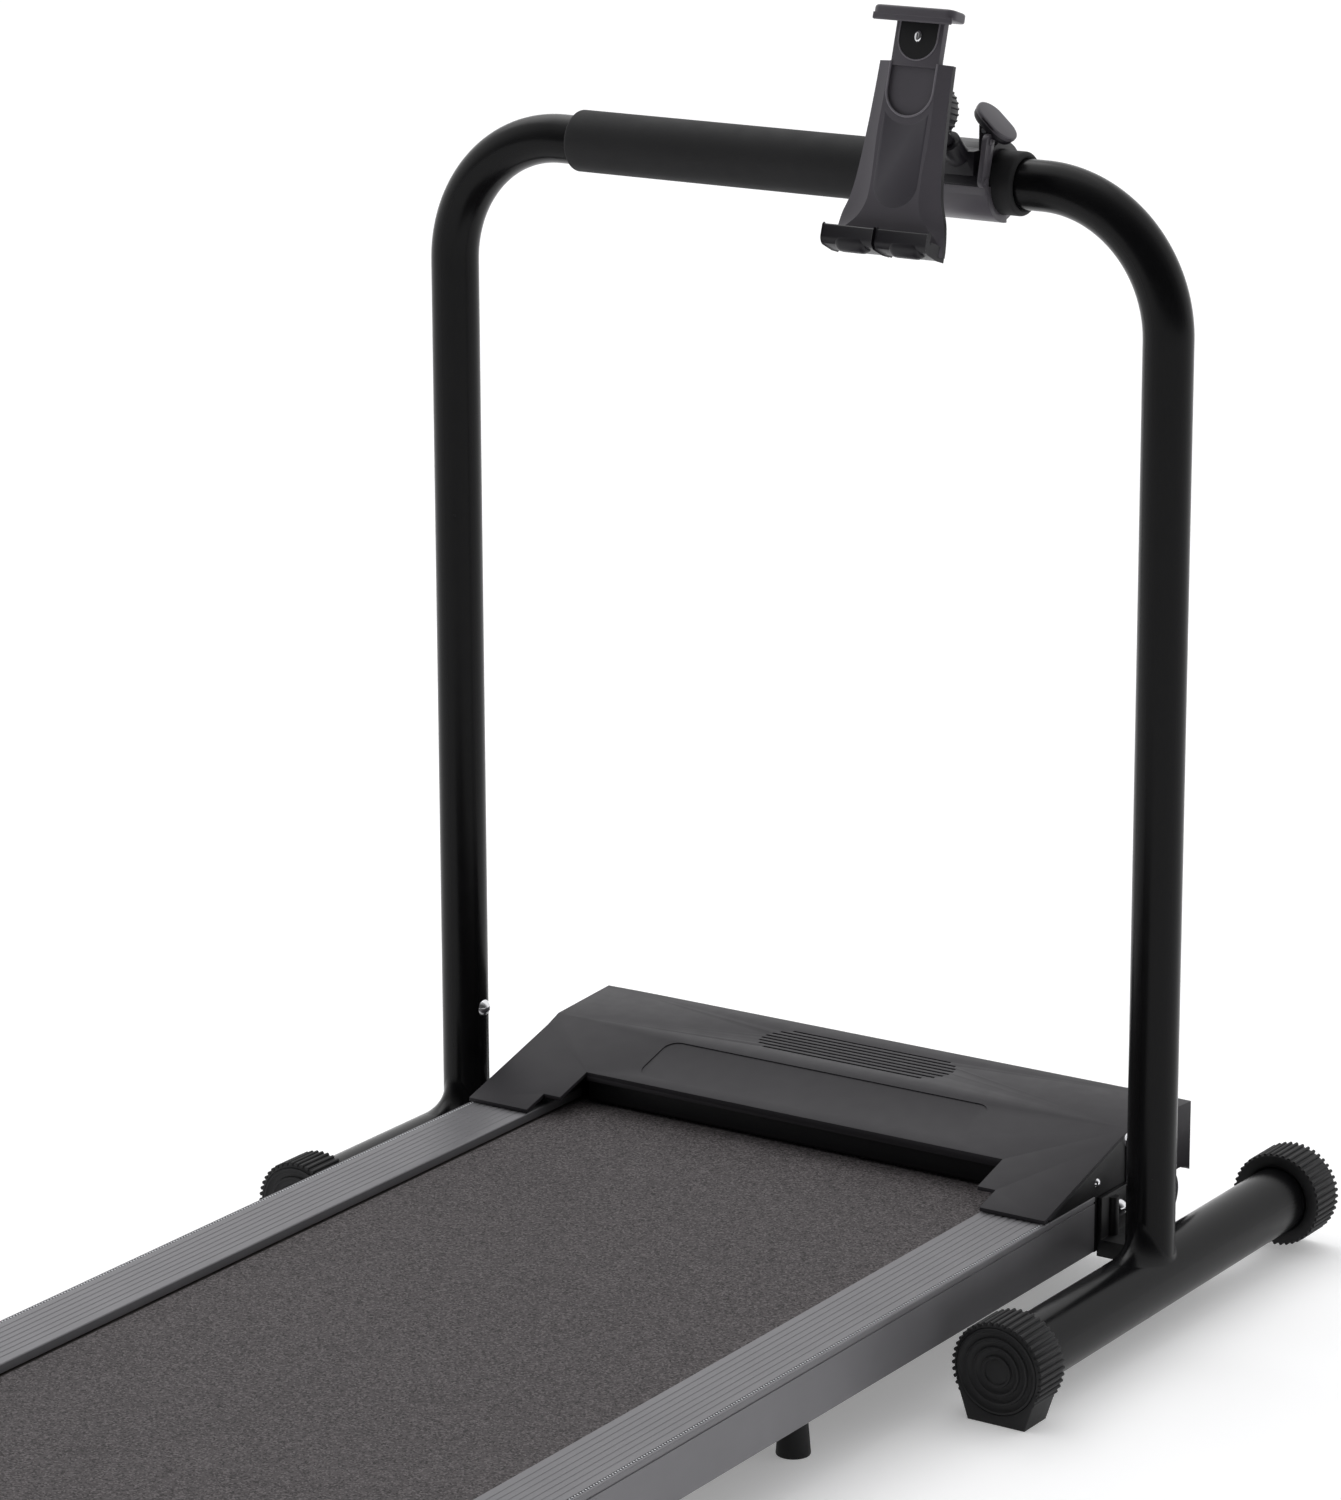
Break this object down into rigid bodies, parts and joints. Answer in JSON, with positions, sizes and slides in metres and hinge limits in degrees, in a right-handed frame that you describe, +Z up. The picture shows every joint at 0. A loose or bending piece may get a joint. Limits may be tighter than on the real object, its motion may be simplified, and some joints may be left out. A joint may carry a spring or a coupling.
{
  "type": "walking treadmill",
  "caption": "Slim walking treadmill with a flat belt deck, a sloped motor cover, a U-shaped foam-grip handle on floor tubes and a clamp-on tablet holder.",
  "frame": {"origin": "on the floor, under the middle of the object's bounding box", "axes": "+X is the runner's right, +Y is forward to the motor end, +Z is up"},
  "size_m": [0.718, 1.272, 1.0134],
  "materials": {
    "tube_black": "gloss powder coat",
    "foam_black": "matte closed-cell foam",
    "cap_rubber": "matte ribbed rubber",
    "bracket_black": "satin powder coat",
    "bolt_chrome": "polished",
    "zinc_steel": "zinc plated",
    "rail_grey": "satin anodised",
    "frame_steel": "satin paint",
    "deck_board": "waxed board",
    "belt_grey": "matte, fine grain",
    "roller_steel": "turned",
    "bearing_steel": "ground",
    "drive_black": "matte",
    "pulley_grey": "as cast",
    "motor_black": "satin paint",
    "rotor_steel": "laminated, wound",
    "board_green": "solder mask",
    "sink_aluminium": "as extruded",
    "cover_grey": "satin moulded",
    "trim_black": "satin moulded",
    "rocker_red": "gloss",
    "button_white": "gloss",
    "wheel_grey": "matte",
    "clamp_black": "satin moulded",
    "clamp_grey": "satin moulded",
    "holder_grey": "satin moulded",
    "liner_grey": "moulded"
  },
  "bodies": {
    "deck_and_stand": {"handle_frame": "tube_black", "foam_grip": "foam_black", "base_tube_left": "tube_black", "base_tube_right": "tube_black", "base_cap_rear_left": "cap_rubber", "base_cap_rear_right": "cap_rubber", "base_cap_front_left": "cap_rubber", "base_cap_front_right": "cap_rubber", "stand_bracket_left": "bracket_black", "stand_bracket_right": "bracket_black", "stand_bolts": "bolt_chrome", "stand_insert_nuts": "zinc_steel", "side_rail_left": "rail_grey", "side_rail_right": "rail_grey", "side_beam_left": "frame_steel", "side_beam_right": "frame_steel", "cross_tubes": "frame_steel", "running_deck": "deck_board", "deck_cushions": "cap_rubber", "running_belt": "belt_grey", "front_roller_shaft": "zinc_steel", "roller_bearings": "bearing_steel", "rear_roller_shaft": "zinc_steel", "tension_bolts": "zinc_steel", "rear_cap_left": "trim_black", "rear_cap_right": "trim_black", "rubber_feet": "cap_rubber", "motor_body": "motor_black", "motor_mount": "frame_steel", "drive_belt": "drive_black", "control_board": "board_green", "heat_sink": "sink_aluminium", "power_inlet": "trim_black", "switch_body": "trim_black", "motor_cover": "cover_grey", "belt_guard": "trim_black", "side_plate_left": "trim_black", "side_plate_right": "trim_black", "cover_rivets": "bolt_chrome", "belly_pan": "trim_black", "wheel_axles": "zinc_steel"},
    "front_roller_drum": {"front_roller": "roller_steel", "roller_pulley": "pulley_grey"},
    "rear_roller_drum": {"rear_roller": "roller_steel"},
    "motor_armature": {"motor_rotor": "rotor_steel", "motor_pulley": "pulley_grey"},
    "wheel_left": {"transport_wheel_left": "wheel_grey"},
    "wheel_right": {"transport_wheel_right": "wheel_grey"},
    "rocker": {"rocker_switch": "rocker_red"},
    "reset_button": {"breaker_button": "button_white"},
    "bar_clamp": {"clamp_body": "clamp_black", "clamp_pins": "zinc_steel", "ball_stud": "clamp_black"},
    "bar_jaw": {"clamp_jaw": "clamp_grey"},
    "thumb_lever": {"clamp_lever": "clamp_grey"},
    "ball_liner": {"ball_seat": "liner_grey"},
    "collar": {"lock_collar": "clamp_black"},
    "cradle": {"holder_back": "holder_grey"},
    "cradle_slide": {"holder_slider": "holder_grey", "slider_screw": "bolt_chrome"}
  },
  "joints": [
    {"name": "front_roller_spin", "type": "hinge", "parent": "deck_and_stand", "child": "front_roller_drum", "pos_m": [0, 0.436, 0.0689], "axis": [1, 0, 0], "continuous": true},
    {"name": "rear_roller_spin", "type": "hinge", "parent": "deck_and_stand", "child": "rear_roller_drum", "pos_m": [0, -0.592, 0.0689], "axis": [1, 0, 0], "continuous": true},
    {"name": "motor_spin", "type": "hinge", "parent": "deck_and_stand", "child": "motor_armature", "pos_m": [0, 0.493, 0.089], "axis": [1, 0, 0], "continuous": true},
    {"name": "wheel_left_spin", "type": "hinge", "parent": "deck_and_stand", "child": "wheel_left", "pos_m": [-0.2555, 0.521, 0.059], "axis": [1, 0, 0], "continuous": true},
    {"name": "wheel_right_spin", "type": "hinge", "parent": "deck_and_stand", "child": "wheel_right", "pos_m": [0.2555, 0.521, 0.059], "axis": [1, 0, 0], "continuous": true},
    {"name": "rocker_tilt", "type": "hinge", "parent": "deck_and_stand", "child": "rocker", "pos_m": [0.106, 0.539, 0.085], "axis": [1, 0, 0], "range_deg": [-2, 16]},
    {"name": "reset_press", "type": "slide", "parent": "deck_and_stand", "child": "reset_button", "axis": [0, -1, 0], "range_m": [0, 0.004], "stiffness_N_per_m": 400},
    {"name": "clamp_swing", "type": "hinge", "parent": "deck_and_stand", "child": "bar_clamp", "pos_m": [0.157, 0.391, 0.875], "axis": [1, 0, 0], "range_deg": [-30, 45]},
    {"name": "jaw_open", "type": "hinge", "parent": "bar_clamp", "child": "bar_jaw", "pos_m": [0.157, 0.424, 0.875], "axis": [1, 0, 0], "range_deg": [0, 25]},
    {"name": "lever_lift", "type": "hinge", "parent": "bar_clamp", "child": "thumb_lever", "pos_m": [0.1756, 0.379, 0.9156], "axis": [0, 1, 0], "range_deg": [-75, 0]},
    {"name": "holder_pan", "type": "hinge", "parent": "bar_clamp", "child": "ball_liner", "pos_m": [0.159, 0.317, 0.935], "axis": [0, 0, 1], "range_deg": [-15, 15]},
    {"name": "holder_tilt", "type": "hinge", "parent": "ball_liner", "child": "collar", "pos_m": [0.159, 0.317, 0.935], "axis": [1, 0, 0], "range_deg": [-20, 8]},
    {"name": "holder_turn", "type": "hinge", "parent": "collar", "child": "cradle", "pos_m": [0.159, 0.317, 0.935], "axis": [0, -0.9588, 0.284], "range_deg": [-90, 90]},
    {"name": "jaw_slide", "type": "slide", "parent": "cradle", "child": "cradle_slide", "axis": [0, 0.284, 0.9588], "range_m": [0, 0.045], "stiffness_N_per_m": 90, "springref_m": -0.02}
  ],
  "couplings": [
    {"joint": "rear_roller_spin", "follows": "front_roller_spin", "ratio": 1},
    {"joint": "motor_spin", "follows": "front_roller_spin", "ratio": 2.1667},
    {"joint": "lever_lift", "follows": "jaw_open", "ratio": -3}
  ]
}
